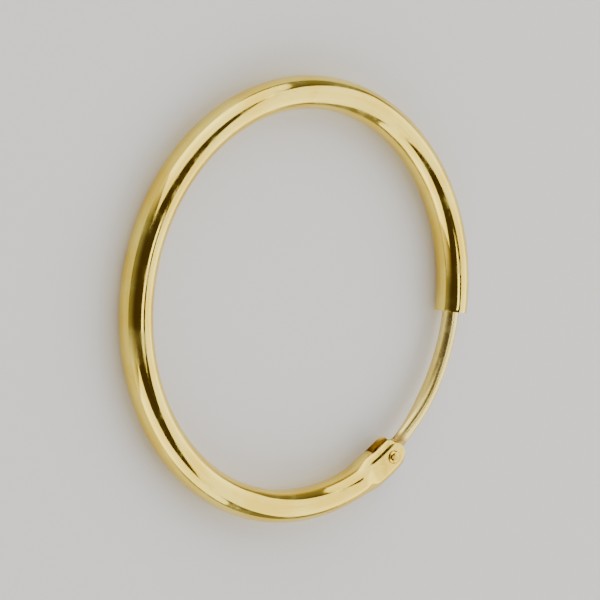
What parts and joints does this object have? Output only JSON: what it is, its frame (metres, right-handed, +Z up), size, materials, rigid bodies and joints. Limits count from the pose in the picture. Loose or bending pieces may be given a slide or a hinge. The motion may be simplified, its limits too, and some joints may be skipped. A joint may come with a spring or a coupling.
{
  "type": "hoop earring",
  "caption": "Round hinged sleeper hoop earring in hollow gold tube, closed by a thin ear wire that turns on a rivet and springs into the tube's open mouth.",
  "frame": {"origin": "centre of the ring, on the surface that the hoop lies on", "axes": "+Z up through the ring, at right angles to its plane; the ear wire's gap is centred between +X and +Y"},
  "size_m": [0.016, 0.016, 0.0012],
  "materials": {
    "tube_gold": "polished yellow gold with fine wear",
    "rivet_gold": "polished yellow gold",
    "wire_gold": "bright drawn pale yellow gold"
  },
  "bodies": {
    "hoop": {"hoop_tube": "tube_gold", "hinge_rivet": "rivet_gold"},
    "wire": {"ear_wire": "wire_gold"}
  },
  "joints": [
    {"name": "wire_hinge", "type": "hinge", "parent": "hoop", "child": "wire", "pos_m": [0.00702, 0.00235, 0.0006], "axis": [0, 0, -1], "range_deg": [0, 115]}
  ]
}
